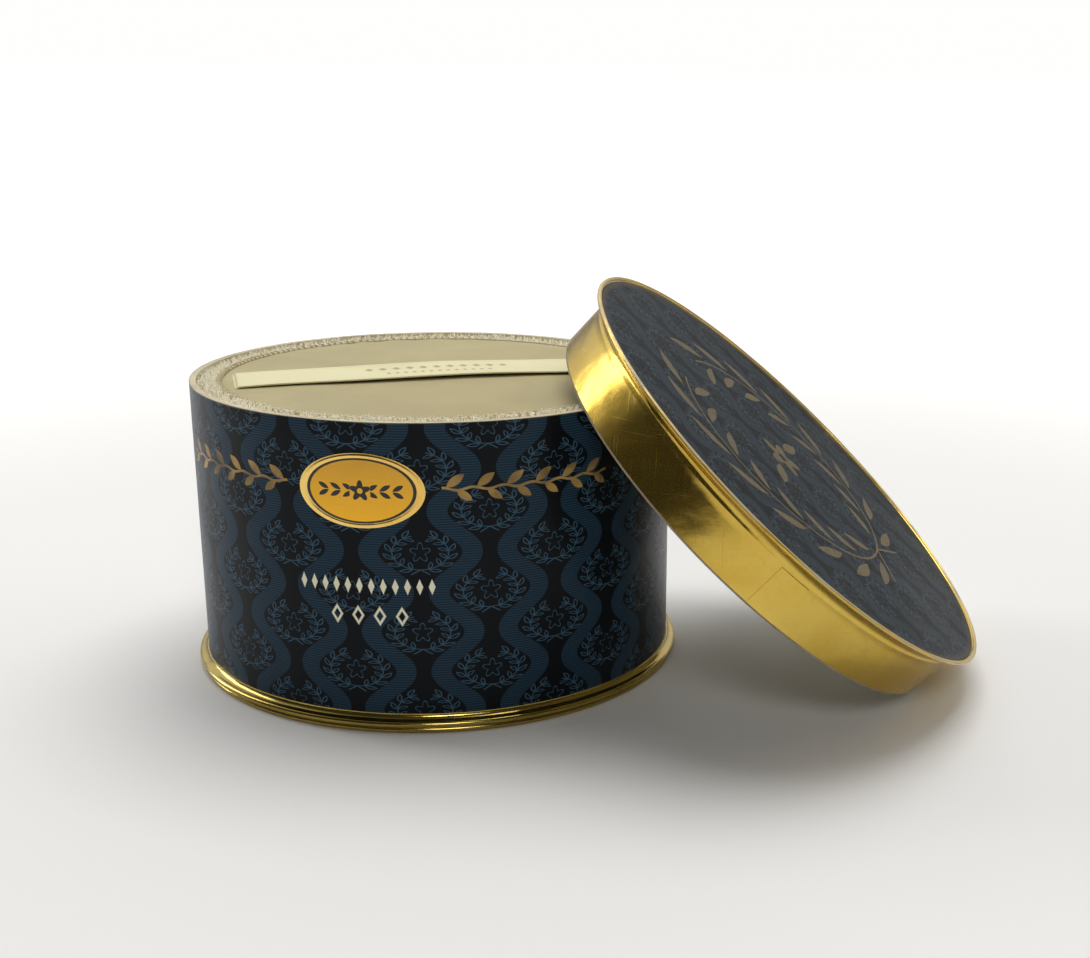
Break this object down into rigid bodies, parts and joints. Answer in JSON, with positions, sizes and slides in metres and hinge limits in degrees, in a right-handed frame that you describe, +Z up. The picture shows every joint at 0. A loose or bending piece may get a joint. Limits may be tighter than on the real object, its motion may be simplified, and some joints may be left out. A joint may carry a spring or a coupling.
{
  "type": "dusting powder drum with puff",
  "caption": "Round board powder drum with foil foot and label, open, a ribbon-topped puff in its mouth and its foil-edged lid leaning on the rim.",
  "frame": {"origin": "centre of the flat ring that the drum stands on", "axes": "+Z up along the drum's axis; -Y is the front, where the oval label is; the lid leans on the +X side"},
  "size_m": [0.1892, 0.122, 0.0909],
  "materials": {
    "board": "matte grey-brown board",
    "printed_paper": "gloss navy print",
    "lining_paper": "matte cream paper",
    "gold_foil": "polished gold foil on paper",
    "powder": "matte loose talc",
    "pile": "matte napped pile",
    "wadding": "matte wadding",
    "woven_cotton": "matte woven cotton",
    "satin": "satin ribbon",
    "thread": "matte cotton thread"
  },
  "bodies": {
    "drum": {"drum_tube": "board", "drum_wrap": "printed_paper", "drum_liner": "lining_paper", "oval_seal": "gold_foil", "foot_hoop": "board", "foot_foil": "gold_foil", "base_board": "board", "base_ring": "board", "base_outer_paper": "printed_paper", "base_lining": "lining_paper", "inner_sleeve": "board", "powder_fill": "powder"},
    "puff": {"puff_pile": "pile", "puff_filling": "wadding", "puff_face": "woven_cotton", "puff_binding": "thread", "puff_ribbon": "satin", "ribbon_stitches": "thread"},
    "lid": {"lid_skirt": "board", "lid_foil": "gold_foil", "lid_lip_hoop": "board", "lid_board": "board", "lid_print": "printed_paper", "lid_lining": "lining_paper", "lid_inner_paper": "lining_paper"}
  },
  "joints": [
    {"name": "lid_lift", "type": "slide", "parent": "drum", "child": "lid", "axis": [0.6744, 0, 0.7384], "range_m": [0, 0.15]},
    {"name": "puff_lift", "type": "slide", "parent": "drum", "child": "puff", "axis": [0, 0, 1], "range_m": [0, 0.06]}
  ],
  "couplings": [
    {"joint": "puff_lift", "follows": "lid_lift", "ratio": 0.4}
  ]
}
